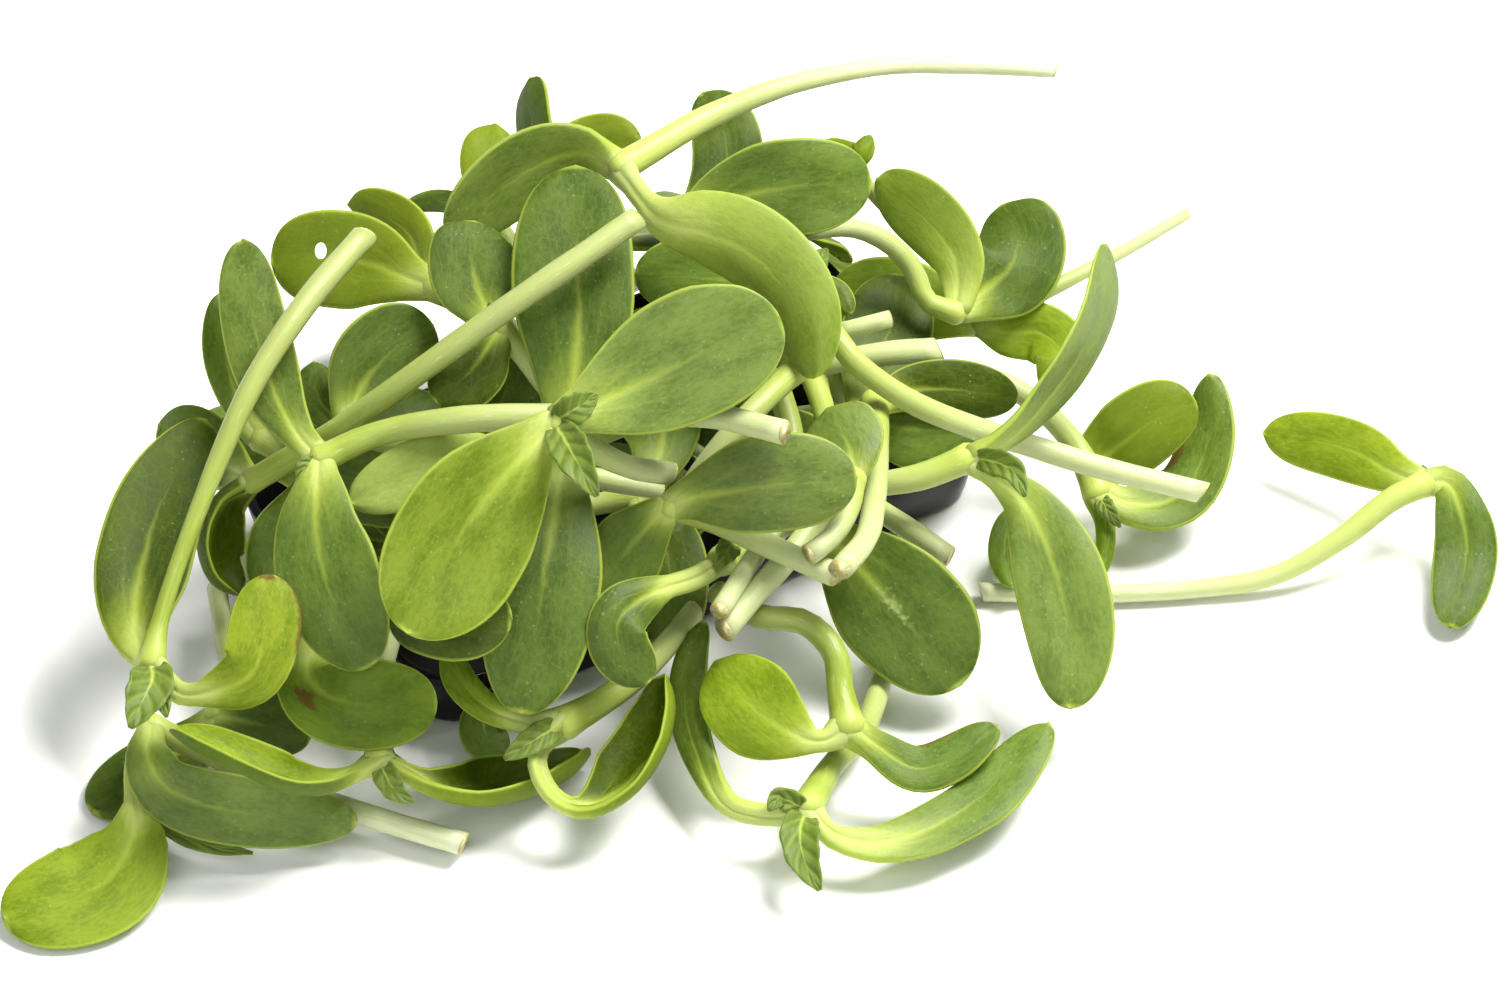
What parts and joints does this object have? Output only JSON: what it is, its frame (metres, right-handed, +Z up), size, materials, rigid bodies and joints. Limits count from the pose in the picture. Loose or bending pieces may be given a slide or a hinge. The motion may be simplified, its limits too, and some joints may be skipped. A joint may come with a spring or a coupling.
{
  "type": "sunflower microgreens tray",
  "caption": "Heap of cut sunflower microgreens with fleshy seed-leaf pairs and pale stems, lying over a small shallow black tray.",
  "frame": {"origin": "centre of the tray's flat underside, where it rests on the table", "axes": "+X along the tray's long side, +Y across it and away from the viewer, +Z up"},
  "size_m": [0.1952, 0.1269, 0.0588],
  "materials": {
    "tray": "glossy black moulded plastic",
    "sprout": null
  },
  "bodies": {
    "root": {"sprout_back_left": "sprout", "sprout_back_mid": "sprout", "sprout_back_right": "sprout", "sprout_centre": "sprout", "sprout_crossing": "sprout", "sprout_cut_a": "sprout", "sprout_cut_b": "sprout", "sprout_cut_c": "sprout", "sprout_cut_d": "sprout", "sprout_cut_e": "sprout", "sprout_cut_f": "sprout", "sprout_cut_g": "sprout", "sprout_dark_leaf": "sprout", "sprout_far_stem": "sprout", "sprout_front_fold": "sprout", "sprout_front_right": "sprout", "sprout_holed": "sprout", "sprout_inner_centre": "sprout", "sprout_inner_left": "sprout", "sprout_inner_low": "sprout", "sprout_inner_mid": "sprout", "sprout_inner_right": "sprout", "sprout_left_back": "sprout", "sprout_left_front": "sprout", "sprout_left_pair": "sprout", "sprout_left_shade": "sprout", "sprout_left_tall": "sprout", "sprout_loop": "sprout", "sprout_low_dark": "sprout", "sprout_low_left": "sprout", "sprout_mid_left": "sprout", "sprout_mid_low": "sprout", "sprout_mid_right": "sprout", "sprout_right_cluster": "sprout", "sprout_right_low": "sprout", "sprout_right_node": "sprout", "sprout_right_stem": "sprout", "sprout_ring": "sprout", "sprout_slant": "sprout", "sprout_stray": "sprout", "sprout_table_left": "sprout", "sprout_table_right": "sprout", "sprout_thin_stem": "sprout", "sprout_top_arc": "sprout", "sprout_top_back": "sprout", "sprout_top_left": "sprout", "sprout_top_right": "sprout", "sprout_top_tips": "sprout", "sprout_tray_corner": "sprout", "sprout_tray_end": "sprout", "sprout_tray_floor": "sprout", "sprout_tray_left": "sprout", "sprout_tray_mid": "sprout", "sprout_tray_right": "sprout", "sprout_under_centre": "sprout", "sprout_upright": "sprout", "tray": "tray"}
  },
  "joints": []
}
